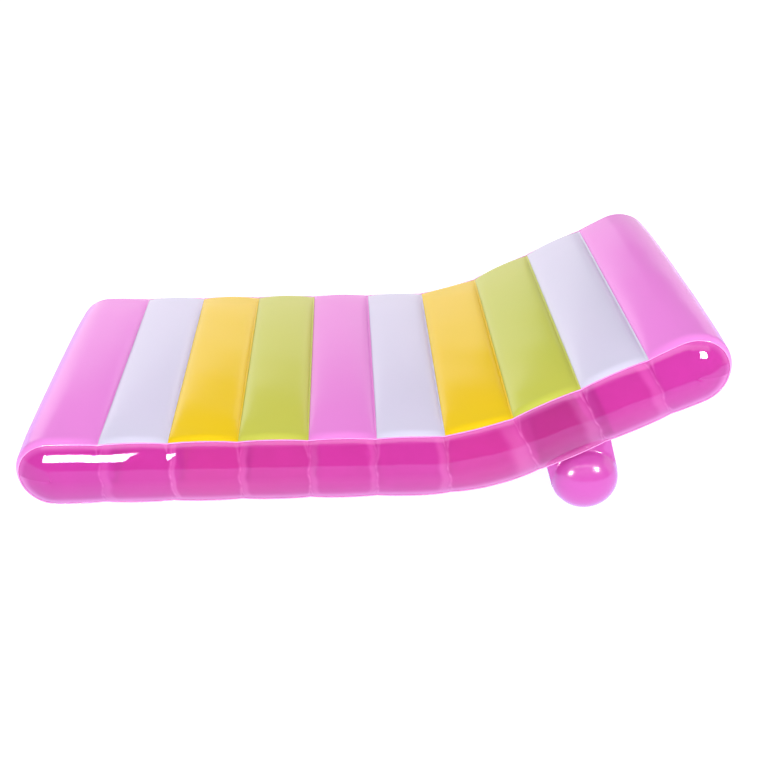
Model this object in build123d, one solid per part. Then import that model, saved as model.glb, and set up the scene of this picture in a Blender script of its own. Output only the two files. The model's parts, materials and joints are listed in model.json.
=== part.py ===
"""Lie-on inflatable pool float: ten welded film strips on top, inner baffles, a bent headrest
and one round bolster under it. Units are millimetres and degrees.

X runs from the foot to the head, Y across, Z up, with Z = 0 where the float rests. The body is
laid out along its mid-surface: s is the distance along it from the centre of the foot's round
end, and n is the height above it. X = 0 and Y = 0 are the middle of the float."""

from build123d import *
from math import acos, asin, atan2, cos, degrees, hypot, radians, sin
import os

# Driving dimensions of the body
FILM = 1.0  # wall of every film piece
HALF = 92.4  # half of the body's thickness, and the radius of its round ends
SEAM = 424.0  # middle of the float to each side seam
SIDE_BULGE = 33.0  # how far a side panel swells past its seam
STRAIGHT_FOOT = 918.0
BEND_LENGTH = 292.0
BEND_ANGLE = 26.3
STRAIGHT_HEAD = 429.0
FIRST_BAFFLE = 119.0  # distance along the body to the first inner wall
STRIPE_WIDTHS = (172.0, 174.0, 175.0, 170.0, 181.0, 204.0, 182.0, 176.0)
STRIPE_NAMES = (
    "top_panel_white_1",
    "top_panel_yellow_1",
    "top_panel_green_1",
    "top_panel_pink_mid",
    "top_panel_white_2",
    "top_panel_yellow_2",
    "top_panel_green_2",
    "top_panel_white_3",
)
BAFFLE_SPAN = 680.0  # the baffles stop short of both sides
BAFFLE_FLANGE = 24.0  # weld strip along the top and bottom of a baffle
WELD_GAP = 0.2
RIM_HEIGHT = 2.5  # how far a weld edge stands off the film
RIM_WIDTH = 3.0
REST_DIP = 1.5  # depth of the flat that each support presses into itself

# Driving dimensions of the bolster
BOLSTER_STATION = 1289.0
BOLSTER_GAP = 4.3
BOLSTER_RADIUS = 85.5
BOLSTER_TIP = 462.0  # middle of the float to the tip of the left end
BOLSTER_DOME = 64.0
WEB_FRONT = -74.0  # where each web leaves the underside, along the body from the bolster
WEB_REAR = 110.0
WEB_SINK = 0.3  # how far a web is let into the bolster's film, where the two are welded
WEB_LAP = 7.0  # how far it runs on past the point where it first touches

# Driving dimensions of a valve, along its own axis with 0 at the film
FLANGE_RADIUS = 17.0
FLANGE_TOP = 1.2
COLLAR_OUTER = 10.2
COLLAR_DEPTH = 10.0
STEM_CLEARANCE = 0.3
STEM_RADIUS = 8.7
STEM_DEPTH = 17.0
BORE_RADIUS = 5.2
STRAP_RADIUS = 12.0
STRAP_THICKNESS = 0.8
LIP_RADIUS = 11.0
LIP_THICKNESS = 1.0
CAP_RADIUS = 9.5
CAP_THICKNESS = 1.4
PLUG_LENGTH = 4.0
PLUG_TOP_RADIUS = 4.9
PLUG_TIP_RADIUS = 3.8
HINGE_REACH = 14.2  # from the valve's axis to the fold of its strap
STRAP_WIDTH = 5.0
FLAP_RADIUS = 6.3
FLAP_HINGE_REACH = 6.8
FLAP_THICKNESS = 0.8
VALVE_STATION = 1467.0

# Sizes that follow from those above
BEND_RADIUS = BEND_LENGTH / radians(BEND_ANGLE)
LENGTH = STRAIGHT_FOOT + BEND_LENGTH + STRAIGHT_HEAD
STRAP_BASE = FLANGE_TOP + STEM_CLEARANCE
LIP_TOP = STRAP_BASE + STRAP_THICKNESS + LIP_THICKNESS
CAP_BASE = LIP_TOP + STEM_CLEARANCE
HINGE_HEIGHT = CAP_BASE + CAP_THICKNESS
BIG = 4000.0


def bend_turn(s):
    """Degrees that the body has turned upwards by station s."""
    return BEND_ANGLE * min(max(s - STRAIGHT_FOOT, 0), BEND_LENGTH) / BEND_LENGTH


def unrested(s, n):
    """The point (s, n) with the straight part level and the foot's centre at the origin."""
    turn = radians(bend_turn(s))
    arc_x = STRAIGHT_FOOT + BEND_RADIUS * sin(turn)
    arc_z = BEND_RADIUS * (1 - cos(turn))
    past_bend = max(s - STRAIGHT_FOOT - BEND_LENGTH, 0)
    before_bend = min(s - STRAIGHT_FOOT, 0)
    x = arc_x + past_bend * cos(turn) + before_bend - n * sin(turn)
    z = arc_z + past_bend * sin(turn) + n * cos(turn)
    return x, z


def rest_tilt():
    """Slope of the straight part when the foot end and the bolster both touch the floor."""
    x, z = unrested(BOLSTER_STATION, -(HALF + BOLSTER_GAP + BOLSTER_RADIUS))
    return degrees(asin((BOLSTER_RADIUS - HALF) / hypot(x, z)) - atan2(z, x))


TILT = rest_tilt()


def turned(x, z):
    """A point of the level layout after the tilt."""
    slope = radians(TILT)
    return x * cos(slope) - z * sin(slope), x * sin(slope) + z * cos(slope)


MIDDLE_X = turned(*unrested(LENGTH, 0))[0] / 2


def place(s, n):
    """X and Z of the point at station s and height n."""
    x, z = turned(*unrested(s, n))
    return x - MIDDLE_X, z + HALF - REST_DIP


def heading(s):
    """Unit vector along the body at station s."""
    slope = radians(TILT + bend_turn(s))
    return cos(slope), 0, sin(slope)


BOLSTER_CENTRE = place(BOLSTER_STATION, -(HALF + BOLSTER_GAP + BOLSTER_RADIUS))
BAFFLE_STATIONS = [FIRST_BAFFLE + sum(STRIPE_WIDTHS[:i]) for i in range(9)]


# Flat outlines, drawn with X across and Z up
def run(start, end, n):
    """Edges that follow the body from one station to another at height n."""
    bends = [s for s in (STRAIGHT_FOOT, STRAIGHT_FOOT + BEND_LENGTH) if start < s < end]
    stops = [start, *bends, end]
    edges = []
    for a, b in zip(stops, stops[1:]):
        if bend_turn(a) == bend_turn(b):
            edges.append(Line(place(a, n), place(b, n)))
        else:
            edges.append(ThreePointArc(place(a, n), place((a + b) / 2, n), place(b, n)))
    return edges


def outline(half):
    """The body seen from the side: a bent band with round ends, half to each side."""
    edges = run(0, LENGTH, half) + run(0, LENGTH, -half)
    edges.append(ThreePointArc(place(LENGTH, half), place(LENGTH + half, 0), place(LENGTH, -half)))
    edges.append(ThreePointArc(place(0, -half), place(-half, 0), place(0, half)))
    return make_face(edges)


def above(z):
    """Everything over the height z."""
    return Pos(0, z + BIG / 2) * Rectangle(BIG, BIG)


def polygon(*points):
    """A straight-sided area."""
    return make_face(Polyline(*points, close=True))


def body_wall():
    """The film all round the body, flat where the foot rests."""
    return (outline(HALF) & above(0)) - (outline(HALF - FILM) & above(FILM))


def slab(area, low_y, high_y):
    """A flat area drawn out across the float."""
    return Pos(0, high_y, 0) * extrude(Plane.XZ * area, amount=high_y - low_y)


# Film pieces of the body
def top_cell(start, end):
    """The area over two stations that holds one top panel."""
    low, high = HALF * 0.2, HALF * 2
    return polygon(place(start, low), place(start, high), place(end, high), place(end, low))


def bottom_cell(start, end):
    """The area under two stations, with a middle point that follows the bend."""
    middle = (start + end) / 2
    low = -HALF * 3
    upper = [place(s, -HALF * 0.2) for s in (start, middle, end)]
    lower = [place(s, low) for s in (end, middle, start)]
    return polygon(*upper, *lower)


def end_cell(station, beyond):
    """The area past a station, round one end of the body."""
    high = HALF * 3
    corners = [place(station, high), place(beyond, high), place(beyond, -high)]
    return polygon(*corners, place(station, -high))


def wrapped_panels():
    """The foot and head panels, each in one piece from the top round to the underside."""
    wall = body_wall()
    foot = wall & end_cell(BAFFLE_STATIONS[0], -HALF * 3)
    head = wall & end_cell(BAFFLE_STATIONS[-1], LENGTH + HALF * 3)
    return {
        "foot_panel_pink": slab(foot, -SEAM, SEAM),
        "head_panel_pink": slab(head, -SEAM, SEAM),
    }


def top_panels():
    """The eight strips between the end panels."""
    wall = body_wall()
    spans = zip(BAFFLE_STATIONS, BAFFLE_STATIONS[1:])
    strips = [slab(wall & top_cell(start, end), -SEAM, SEAM) for start, end in spans]
    return dict(zip(STRIPE_NAMES, strips))


def bottom_sheets():
    """The underside in two sheets that meet over the bolster."""
    wall = body_wall()
    foot = wall & bottom_cell(BAFFLE_STATIONS[0], BOLSTER_STATION)
    head = wall & bottom_cell(BOLSTER_STATION, BAFFLE_STATIONS[-1])
    return {
        "bottom_sheet_foot": slab(foot, -SEAM, SEAM),
        "bottom_sheet_head": slab(head, -SEAM, SEAM),
    }


def baffle(station):
    """One inner wall with a weld strip along its top and bottom."""
    reach = HALF - FILM - WELD_GAP
    sides = [(-FILM / 2, FILM / 2, -reach, reach)]
    sides.append((-BAFFLE_FLANGE / 2, BAFFLE_FLANGE / 2, reach - FILM, reach))
    sides.append((-BAFFLE_FLANGE / 2, BAFFLE_FLANGE / 2, -reach, FILM - reach))
    origin_x, origin_z = place(station, 0)
    section = Plane((origin_x, 0, origin_z), x_dir=heading(station), z_dir=(0, -1, 0))
    strips = [
        Pos((left + right) / 2, (low + high) / 2) * Rectangle(right - left, high - low)
        for left, right, low, high in sides
    ]
    area = strips[0] + strips[1] + strips[2]
    return extrude(section * area, amount=BAFFLE_SPAN / 2, both=True)


def side_swell(inset):
    """The solid that swells out of the left-hand outline, inset from the film's outer face."""
    half = HALF - inset
    crown = SIDE_BULGE - inset
    whole = make_face([
        ThreePointArc((0, half), (crown, 0), (0, -half)),
        Line((0, -half), (0, half)),
    ])
    upper = whole & (Pos(0, BIG / 2) * Rectangle(BIG, BIG))

    def across(station, area):
        x, z = place(station, 0)
        plane = Plane((x, SEAM, z), x_dir=(0, 1, 0), z_dir=heading(station))
        return plane * area

    def level_axis(s, n, direction):
        x, z = place(s, n)
        return Axis((x, 0, z), (0, direction, 0))

    bend_end = STRAIGHT_FOOT + BEND_LENGTH
    swell = extrude(across(0, whole), amount=STRAIGHT_FOOT)
    swell += revolve(
        across(STRAIGHT_FOOT, whole), level_axis(STRAIGHT_FOOT, BEND_RADIUS, -1), BEND_ANGLE
    )
    swell += extrude(across(bend_end, whole), amount=STRAIGHT_HEAD)
    swell += revolve(across(0, upper), level_axis(0, 0, -1), 180)
    swell += revolve(across(LENGTH, upper), level_axis(LENGTH, 0, 1), 180)
    return swell


def over_floor(z):
    """The space above the height z."""
    return Pos(0, 0, z + BIG / 2) * Box(BIG, BIG, BIG)


def side_panel():
    """The right-hand side panel: a swollen shell, flat where the foot rests."""
    return (side_swell(0) & over_floor(0)) - (side_swell(FILM) & over_floor(FILM))


def seam_weld():
    """The right-hand weld edge, a low rim all round the seam that stops at the flat."""
    ring = (outline(HALF + RIM_HEIGHT) - outline(HALF)) & above(FILM)
    return slab(ring, SEAM - RIM_WIDTH / 2, SEAM + RIM_WIDTH / 2)


# Bolster
def bolster_disc(radius):
    return Pos(*BOLSTER_CENTRE) * Circle(radius)


def bolster_sleeve(low_y, high_y):
    """The round tube, flat where it rests."""
    outer = bolster_disc(BOLSTER_RADIUS) & above(0)
    inner = bolster_disc(BOLSTER_RADIUS - FILM) & above(FILM)
    return slab(outer - inner, low_y, high_y)


def dome(inset, y):
    """A filled end that swells towards +Y from the height y, inset from the outer face."""
    radius, depth = BOLSTER_RADIUS - inset, BOLSTER_DOME - inset
    quarter = make_face([
        EllipticalCenterArc((0, 0), radius, depth, start_angle=0, arc_size=90),
        Line((0, depth), (0, 0)),
        Line((0, 0), (radius, 0)),
    ])
    return Pos(BOLSTER_CENTRE[0], y, BOLSTER_CENTRE[1]) * revolve(quarter, Axis.Y, 360)


def bolster_end(y):
    """One end of the bolster as a shell, swelling towards +Y."""
    return (dome(0, y) & over_floor(0)) - (dome(FILM, y) & over_floor(FILM))


def bolster_web(reach, low_y, high_y):
    """The film strip from the underside, reach along from the bolster, to the bolster's side."""
    side = 1 if reach > 0 else -1
    drop = BOLSTER_GAP + BOLSTER_RADIUS
    radius = BOLSTER_RADIUS - WEB_SINK
    towards = atan2(drop, reach) - side * acos(radius / hypot(drop, reach))
    outward = cos(towards), sin(towards)
    onward = side * sin(towards), -side * cos(towards)

    def low_corner(depth):
        along = (radius + depth) * outward[0] + WEB_LAP * onward[0]
        below = (radius + depth) * outward[1] + WEB_LAP * onward[1]
        return place(BOLSTER_STATION + along, below - drop - HALF)

    top = BOLSTER_STATION + reach
    top_width = FILM / outward[0]
    corners = [place(top, -HALF), place(top + top_width, -HALF), low_corner(FILM), low_corner(0)]
    return slab(polygon(*corners) - bolster_disc(BOLSTER_RADIUS), low_y, high_y)


# Valves, built on the XY plane with +Z out of the film
def tube(outer, inner, low, high):
    """A ring or tube between two heights."""
    return Pos(0, 0, low) * extrude(Circle(outer) - Circle(inner), amount=high - low)


def strap_bar(near, far, low, high):
    """A straight piece of strap on the valve's -X side."""
    size = (far - near, STRAP_WIDTH, high - low)
    return Pos(-(near + far) / 2, 0, (low + high) / 2) * Box(*size)


def valve_flange():
    """The welded ring, with the collar that guides the stem."""
    guide = STEM_RADIUS + STEM_CLEARANCE
    disc = tube(FLANGE_RADIUS, guide, -2 * FLANGE_TOP, FLANGE_TOP)
    rim = disc.edges().filter_by(GeomType.CIRCLE).group_by(Axis.Z)[-1].sort_by(SortBy.RADIUS)[-1]
    return fillet(rim, FLANGE_TOP * 0.6) + tube(COLLAR_OUTER, guide, -COLLAR_DEPTH, 0)


def valve_stem():
    """The soft mouth tube with its lip."""
    lip = tube(LIP_RADIUS, BORE_RADIUS, LIP_TOP - LIP_THICKNESS, LIP_TOP)
    return lip + tube(STEM_RADIUS, BORE_RADIUS, -STEM_DEPTH, LIP_TOP - LIP_THICKNESS)


def valve_strap():
    """The strap's ring round the stem, and its riser up to the fold."""
    ring = tube(STRAP_RADIUS, STEM_RADIUS, STRAP_BASE, STRAP_BASE + STRAP_THICKNESS)
    arm = strap_bar(STRAP_RADIUS - 1, HINGE_REACH + STRAP_THICKNESS, STRAP_BASE,
                    STRAP_BASE + STRAP_THICKNESS)
    riser = strap_bar(HINGE_REACH, HINGE_REACH + STRAP_THICKNESS, STRAP_BASE,
                      HINGE_HEIGHT - STRAP_THICKNESS / 2)
    return ring + arm + riser


def valve_cap():
    """The plug and its disc, with the tab that folds at the strap."""
    disc = Pos(0, 0, CAP_BASE + CAP_THICKNESS / 2) * Cylinder(CAP_RADIUS, CAP_THICKNESS)
    disc = fillet(disc.edges().group_by(Axis.Z)[-1], CAP_THICKNESS * 0.5)
    plug = Pos(0, 0, CAP_BASE - PLUG_LENGTH / 2) * Cone(PLUG_TIP_RADIUS, PLUG_TOP_RADIUS, PLUG_LENGTH)
    tab = strap_bar(CAP_RADIUS - 1, HINGE_REACH - STRAP_THICKNESS / 2,
                    HINGE_HEIGHT - STRAP_THICKNESS, HINGE_HEIGHT - 0.1)
    return disc + plug + tab


def valve_flap():
    """The non-return flap under the stem, hinged on its -X side."""
    top = -STEM_DEPTH - STEM_CLEARANCE
    disc = Pos(0, 0, top - FLAP_THICKNESS / 2) * Cylinder(FLAP_RADIUS, FLAP_THICKNESS)
    tab = strap_bar(FLAP_RADIUS - 2, FLAP_HINGE_REACH, top - FLAP_THICKNESS, top)
    return disc + tab


def valve(name, plane, swell):
    """All pieces of one valve. Its flange fits the outside of the solid swell."""
    pieces = {
        "flange": plane * valve_flange() - (swell - plane * Cylinder(COLLAR_OUTER, BIG / 20)),
        "stem": plane * valve_stem(),
        "strap": plane * valve_strap(),
        "cap": plane * valve_cap(),
        "flap": plane * valve_flap(),
    }
    return {f"{name}_{piece}": solid for piece, solid in pieces.items()}


def valve_hole(plane):
    """The hole through the film for a valve's collar."""
    return plane * Cylinder(COLLAR_OUTER, 4 * STEM_DEPTH)


def build():
    """Every piece of the float by name."""
    valve_x, valve_z = place(VALVE_STATION, 0)
    side_plane = Plane(
        (valve_x, SEAM + SIDE_BULGE, valve_z), x_dir=heading(VALVE_STATION), z_dir=(0, 1, 0)
    )
    tip_y = BOLSTER_TIP - HINGE_HEIGHT
    bolster_plane = Plane(
        (BOLSTER_CENTRE[0], tip_y, BOLSTER_CENTRE[1]), x_dir=(1, 0, 0), z_dir=(0, 1, 0)
    )
    tube_left, tube_right = BOLSTER_DOME - BOLSTER_TIP, tip_y - BOLSTER_DOME
    panel, weld = side_panel(), seam_weld()

    pieces = wrapped_panels() | top_panels() | bottom_sheets()
    for number, station in enumerate(BAFFLE_STATIONS, 1):
        pieces[f"baffle_{number}"] = baffle(station)
    pieces["side_panel_left"] = mirror(panel, about=Plane.XZ)
    pieces["side_panel_right"] = panel - valve_hole(side_plane)
    pieces["seam_weld_left"] = mirror(weld, about=Plane.XZ)
    pieces["seam_weld_right"] = weld
    pieces["bolster_sleeve"] = bolster_sleeve(tube_left, tube_right)
    pieces["bolster_end_left"] = mirror(bolster_end(-tube_left), about=Plane.XZ)
    pieces["bolster_end_right"] = bolster_end(tube_right) - valve_hole(bolster_plane)
    pieces["bolster_web_front"] = bolster_web(WEB_FRONT, tube_left, tube_right)
    pieces["bolster_web_rear"] = bolster_web(WEB_REAR, tube_left, tube_right)
    pieces |= valve("body_valve", side_plane, side_swell(0))
    pieces |= valve("bolster_valve", bolster_plane, dome(0, tube_right))
    return pieces


if __name__ == "__main__":
    os.makedirs("parts", exist_ok=True)
    for node, solid in build().items():
        export_step(solid, f"parts/{node}.step")
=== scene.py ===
"""Looks of the inflatable pool float: satin striped film on top, see-through glossy sides with
the inner walls showing, a glossy bolster and soft valves. Metres, in the CAD model's frame."""

import json
import math

import bmesh
import bpy
import numpy as np
from mathutils import Matrix, Vector

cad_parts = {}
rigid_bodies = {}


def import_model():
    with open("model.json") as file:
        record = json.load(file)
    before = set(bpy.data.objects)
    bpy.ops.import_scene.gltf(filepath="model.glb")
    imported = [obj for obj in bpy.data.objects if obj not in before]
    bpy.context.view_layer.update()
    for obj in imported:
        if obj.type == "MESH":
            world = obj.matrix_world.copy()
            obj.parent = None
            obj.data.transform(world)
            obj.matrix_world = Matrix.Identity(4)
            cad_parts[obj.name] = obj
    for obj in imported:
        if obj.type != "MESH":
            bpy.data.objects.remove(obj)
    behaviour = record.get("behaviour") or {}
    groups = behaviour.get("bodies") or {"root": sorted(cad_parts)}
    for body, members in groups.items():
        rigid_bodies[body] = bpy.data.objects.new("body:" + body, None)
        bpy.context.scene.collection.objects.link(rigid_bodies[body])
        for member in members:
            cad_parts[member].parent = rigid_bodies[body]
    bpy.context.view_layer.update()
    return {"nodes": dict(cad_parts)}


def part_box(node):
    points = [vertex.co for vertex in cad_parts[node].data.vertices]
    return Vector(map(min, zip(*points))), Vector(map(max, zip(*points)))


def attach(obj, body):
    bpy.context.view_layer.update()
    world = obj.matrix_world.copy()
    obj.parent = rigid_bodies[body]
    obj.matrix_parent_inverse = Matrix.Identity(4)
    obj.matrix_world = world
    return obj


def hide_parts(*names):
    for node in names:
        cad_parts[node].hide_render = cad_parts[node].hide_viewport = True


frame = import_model()
BODY = "float"

# Sizes shared with the CAD model
SEAM_Y = 0.424
SIDE_BULGE = 0.033
STRAIGHT_FOOT = 0.918
BEND_LENGTH = 0.292
BEND_ANGLE = math.radians(26.3)
STRAIGHT_HEAD = 0.429
CAD_HALF = 0.0924
LENGTH = STRAIGHT_FOOT + BEND_LENGTH + STRAIGHT_HEAD
BEND_RADIUS = BEND_LENGTH / BEND_ANGLE
BAFFLES = 9
BOLSTER_RADIUS = 0.0855
BOLSTER_DOME = 0.064
BOLSTER_GAP = 0.0043
WEB_FRONT = -0.074  # where each web leaves the underside, along the body from the bolster
WEB_REAR = 0.104

# Sizes of the inflated film
SEAM_HALF = 0.0867  # half of the body's thickness at the side seams
FILM = 0.0007
ROLL_OFF = 0.022  # width of the rounded edge beside a seam
ROLL_SLOPE = math.radians(47)
SLOW_RISE = 0.0085  # the film goes on rising by this much towards the middle
SLOW_REACH = 0.085
WEB_CALM = 0.62  # the webs hold the underside down by this share of its swelling
WEB_CALM_REACH = 0.1
CREASE_SHIFT = 0.004  # the weld of an inner wall lies this far footwards of the colour's edge
CREASE_SHARPNESS = 8.0
CREASE_SHARE = 0.55  # part of the depth that falls off sharply beside the crease
SEAM_CREASE_SHARE = 0.2  # the same, at the side seams
CREASE_AT_SEAM = 0.85  # what is left of a crease's depth at the side seams
SEAM_SCALLOP = 0.005  # how far a seam rises from a crease to the middle of a chamber
SEAM_SCALLOP_FOOT = 0.6  # the share of a crease's rise at which a seam is neither up nor down
SCALLOP_START = 0.36  # how far across the float it starts
FILM_WANDER = 0.0009  # height of the slow waves in the film, which start beside the seams
WANDER_START = 0.06
SIDE_WANDER = 0.0007
SIDE_DIP = 0.0006  # depth and width of the dip in the side film beside each baffle
SIDE_DIP_WIDTH = 0.02
END_REACH = 0.09  # how far from its crease an end chamber reaches its full height
GRID = 0.0045  # length of a mesh face along the float, and beside a crease
CREASE_GRID = 0.0022
SEAM_GRID = 0.0022  # the same across the float, beside a seam and in the middle
MIDDLE_GRID = 0.0065
BAFFLE_REACH = 0.34
BAFFLE_FILM = 0.0006
BAFFLE_INSET = 0.0012  # a baffle's weld strips lie this far inside the film
BAFFLE_STRIP = (0.002, 0.013)  # where a weld strip starts and ends, from the wall

# Painted pale bands on the side film, one for each baffle: painted light standing in for the
# baffles' lit ends seen through the film
BAND_PIVOT = 0.72  # the bands lean towards this station, the further off the more
BAND_SHIFT = 0.012
BAND_SWAY = 0.003
BAND_WIDTHS = (0.012, 0.006, 0.009, 0.01, 0.009, 0.012, 0.024, 0.018, 0.014)
BAND_LEVELS = (0.6, 1.0, 0.7, 0.75, 0.7, 0.8, 0.95, 0.9, 0.7)
BAND_BOW = 0.012  # how far a band's ends turn away from its baffle
BAND_LINE = 0.0035  # width of the bright line at a band's edge
BAND_FIELD = 0.62  # how pale the rest of a band is beside that line
BAND_FADE = 0.45  # how much of a band is lost by its top
LOW_MARGIN = 0.95  # painted light on the side film: a paler low margin, lower half and high margin
LOWER_HALF = 0.16
HIGH_MARGIN = 0.6
CURL_START = 0.302  # a baffle's free ends curl from here, by this many degrees
CURL_TURN = (62, 80)
CURL_WANDER = 0.0015

WEB_OUTSIDE = 0.0009  # a web's two faces stand off the bolster's film by these
WEB_INSIDE = 0.0002
WEB_FLARE = 0.011  # a web's top edge turns outwards by this much
WEB_FILLET = 0.014
WEB_LAP = 0.004  # a web runs on past where it first touches the bolster
WEB_INNER_DROP = 0.0015
WEB_FLANGE_START = 0.004  # its weld strip lies under the body from here, just off the film
WEB_FLANGE_GAP = 0.0004
WEB_SWAY = 0.012  # how far a web's reach wanders, as a share of it
WEB_GATHER = 0.0005
WEB_END_FADE = 0.04  # sway and gathers die away over this much at a web's ends
NECK_ROUNDING = 5  # passes of smoothing over the neck's outline
NECK_FADE = 200  # a higher power keeps the neck closer to the dome's root
DOME_FULLNESS = 0.96  # under 1 rounds the bolster's ends a little more than an ellipse
SLEEVE_WANDER = 0.0007
PUCKER = 0.00045  # height of a seam's short wrinkles, and how far from it they fade
PUCKER_FADE = 0.012
PUCKER_START = 0.003
PUCKER_SEEDS = {-1: 11, 1: 23}
FLOOR_CLEARANCE = 0.0016  # the inner walls and the webs stay this far above the floor
BEAD_SIZE = 0.0016  # half of a weld bead's width
BEAD_OUT = 0.0009  # how far outside the seam its middle lies
BEAD_UNEVEN = 0.18  # how far its size wanders, as a share of it
BEAD_PUCKER = 0.0002


def middle(node):
    """The middle of a CAD node's box."""
    low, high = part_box(node)
    return (np.array(low) + np.array(high)) / 2


# The body's mid-surface, from the inner walls' middles
FIRST, FOURTH = middle("baffle_1"), middle("baffle_4")
TILT = math.atan2(FOURTH[2] - FIRST[2], FOURTH[0] - FIRST[0])
FIRST_STATION = FIRST[0] - (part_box("foot_panel_pink")[0][0] + CAD_HALF)
FIRST_STATION /= math.cos(TILT)
FOOT = (FIRST[0] - FIRST_STATION * math.cos(TILT), FIRST[2] - FIRST_STATION * math.sin(TILT))


def bend_turn(s):
    """How far the body has turned upwards by station s, in radians."""
    return BEND_ANGLE * np.clip(s - STRAIGHT_FOOT, 0, BEND_LENGTH) / BEND_LENGTH


def centreline(s):
    """X, Z and slope of the mid-surface at stations s."""
    turn = bend_turn(s)
    past = np.maximum(s - STRAIGHT_FOOT - BEND_LENGTH, 0)
    before = np.minimum(s - STRAIGHT_FOOT, 0)
    x = STRAIGHT_FOOT + BEND_RADIUS * np.sin(turn) + past * np.cos(turn) + before
    z = BEND_RADIUS * (1 - np.cos(turn)) + past * np.sin(turn)
    c, t = math.cos(TILT), math.sin(TILT)
    return FOOT[0] + x * c - z * t, FOOT[1] + x * t + z * c, TILT + turn


def station_of(point):
    """The station whose normal passes through a point."""
    s = np.linspace(0, LENGTH, 16001)
    x, z, _ = centreline(s)
    return float(s[np.argmin((x - point[0]) ** 2 + (z - point[2]) ** 2)])


STATIONS = np.array([station_of(middle(f"baffle_{i}")) for i in range(1, BAFFLES + 1)])
BOLSTER = middle("bolster_sleeve")
BOLSTER[2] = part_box("bolster_sleeve")[1][2] - BOLSTER_RADIUS
BOLSTER_STATION = station_of(BOLSTER)

# The loop: the seam's outline, from the foot along the top, round the head, and back underneath
TOP_END = LENGTH
HEAD_END = TOP_END + math.pi * SEAM_HALF
UNDER_END = HEAD_END + LENGTH
LOOP = UNDER_END + math.pi * SEAM_HALF
CREASES = np.sort(np.concatenate([STATIONS - CREASE_SHIFT, UNDER_END - STATIONS]))


def loop_frame(loop):
    """Base point (x, z) and outward direction (x, z) for places along the loop."""
    loop = np.mod(loop, LOOP)
    on_top, at_head = loop < TOP_END, (loop >= TOP_END) & (loop < HEAD_END)
    under = (loop >= HEAD_END) & (loop < UNDER_END)
    s = np.where(on_top, loop, np.where(at_head, LENGTH, np.where(under, UNDER_END - loop, 0.0)))
    x, z, slope = centreline(s)
    turn = np.where(on_top, 0.0, np.pi)
    turn = np.where(at_head, (loop - TOP_END) / SEAM_HALF, turn)
    turn = np.where(loop >= UNDER_END, np.pi + (loop - UNDER_END) / SEAM_HALF, turn)
    facing = slope + np.pi / 2 - turn
    return x, z, np.cos(facing), np.sin(facing)


def ramp(value, start, end):
    """0 up to start, rising evenly to 1 at end."""
    return np.clip((value - start) / (end - start), 0, 1)


def waves(x, seed, lengths):
    """A smooth wander between about -1 and 1: a few sines with fixed random phases."""
    random = np.random.default_rng(seed)
    total = np.zeros_like(x)
    for length in lengths:
        stretch = length * random.uniform(0.85, 1.15)
        total += np.sin(2 * np.pi * x / stretch + random.uniform(0, 2 * np.pi))
    return total / len(lengths)


def puckers(loop, seed):
    """The short wrinkles of a gathered seam, stronger in some places than in others."""
    fine = waves(loop, seed, (0.009, 0.013, 0.019, 0.031))
    return fine * (0.55 + 0.45 * waves(loop, seed + 1, (0.17, 0.29)))


def gathers(loop, from_seam, side):
    """Height of a seam's wrinkles in the film beside it."""
    fade = np.exp(-from_seam / PUCKER_FADE) * ramp(from_seam, 0, PUCKER_START)
    return PUCKER * puckers(loop, PUCKER_SEEDS[side]) * fade


def crease_rise(loop, y):
    """0 at the bottom of a crease and 1 in the middle of a chamber."""
    place = np.mod(loop, LOOP)
    ends = np.concatenate([[CREASES[-1] - LOOP], CREASES, [CREASES[0] + LOOP]])
    after = np.searchsorted(ends, place, side="right")
    low, high = ends[after - 1], ends[np.minimum(after, len(ends) - 1)]
    near = np.minimum(place - low, high - place)
    reach = np.minimum((high - low) / 2, END_REACH)
    share = np.clip(near / reach, 0, 1)
    out = ramp(np.abs(y), BAFFLE_REACH, SEAM_Y)
    sharp = CREASE_SHARE + (SEAM_CREASE_SHARE - CREASE_SHARE) * out
    rise = 1 - sharp * (1 - share) ** CREASE_SHARPNESS - (1 - sharp) * (1 - share) ** 2
    depth = 1 - (1 - CREASE_AT_SEAM) * out * out * (3 - 2 * out)
    return 1 - depth * (1 - rise)


def edge_height(y):
    """Height of the film above the seams' plane, before the creases."""
    radius = ROLL_OFF / math.sin(ROLL_SLOPE)
    inside = np.clip(SEAM_Y - np.abs(y), 0, ROLL_OFF)
    drop = ROLL_OFF - inside
    roll = np.sqrt(radius**2 - drop**2) - radius * math.cos(ROLL_SLOPE)
    return roll + SLOW_RISE * (1 - np.exp(-(SEAM_Y - np.abs(y)) / SLOW_REACH))


def scallop(loop, y):
    """The seams themselves rise a little over each chamber."""
    near = ramp(np.abs(y), SCALLOP_START, SEAM_Y)
    rise = crease_rise(loop, np.full_like(y, SEAM_Y)) - SEAM_SCALLOP_FOOT
    return SEAM_SCALLOP * near**2 * rise


def calm_under_bolster(loop):
    """Less swelling where the bolster's webs hold the underside."""
    held = BOLSTER_STATION + (WEB_FRONT + WEB_REAR) / 2
    away = np.abs(np.mod(loop, LOOP) - (UNDER_END - held))
    return 1 - WEB_CALM * np.exp(-((away / WEB_CALM_REACH) ** 4))


def on_floor(z):
    """The film presses flat where it would go through the floor."""
    soft, lowest = 0.0012, 0.0001
    return 0.5 * (z + np.sqrt(z * z + soft * soft)) + lowest


def swelling(loop, y):
    """Height of the film over the seams' plane, without its wrinkles."""
    return edge_height(y) * crease_rise(loop, y) * calm_under_bolster(loop) + scallop(loop, y)


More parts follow.
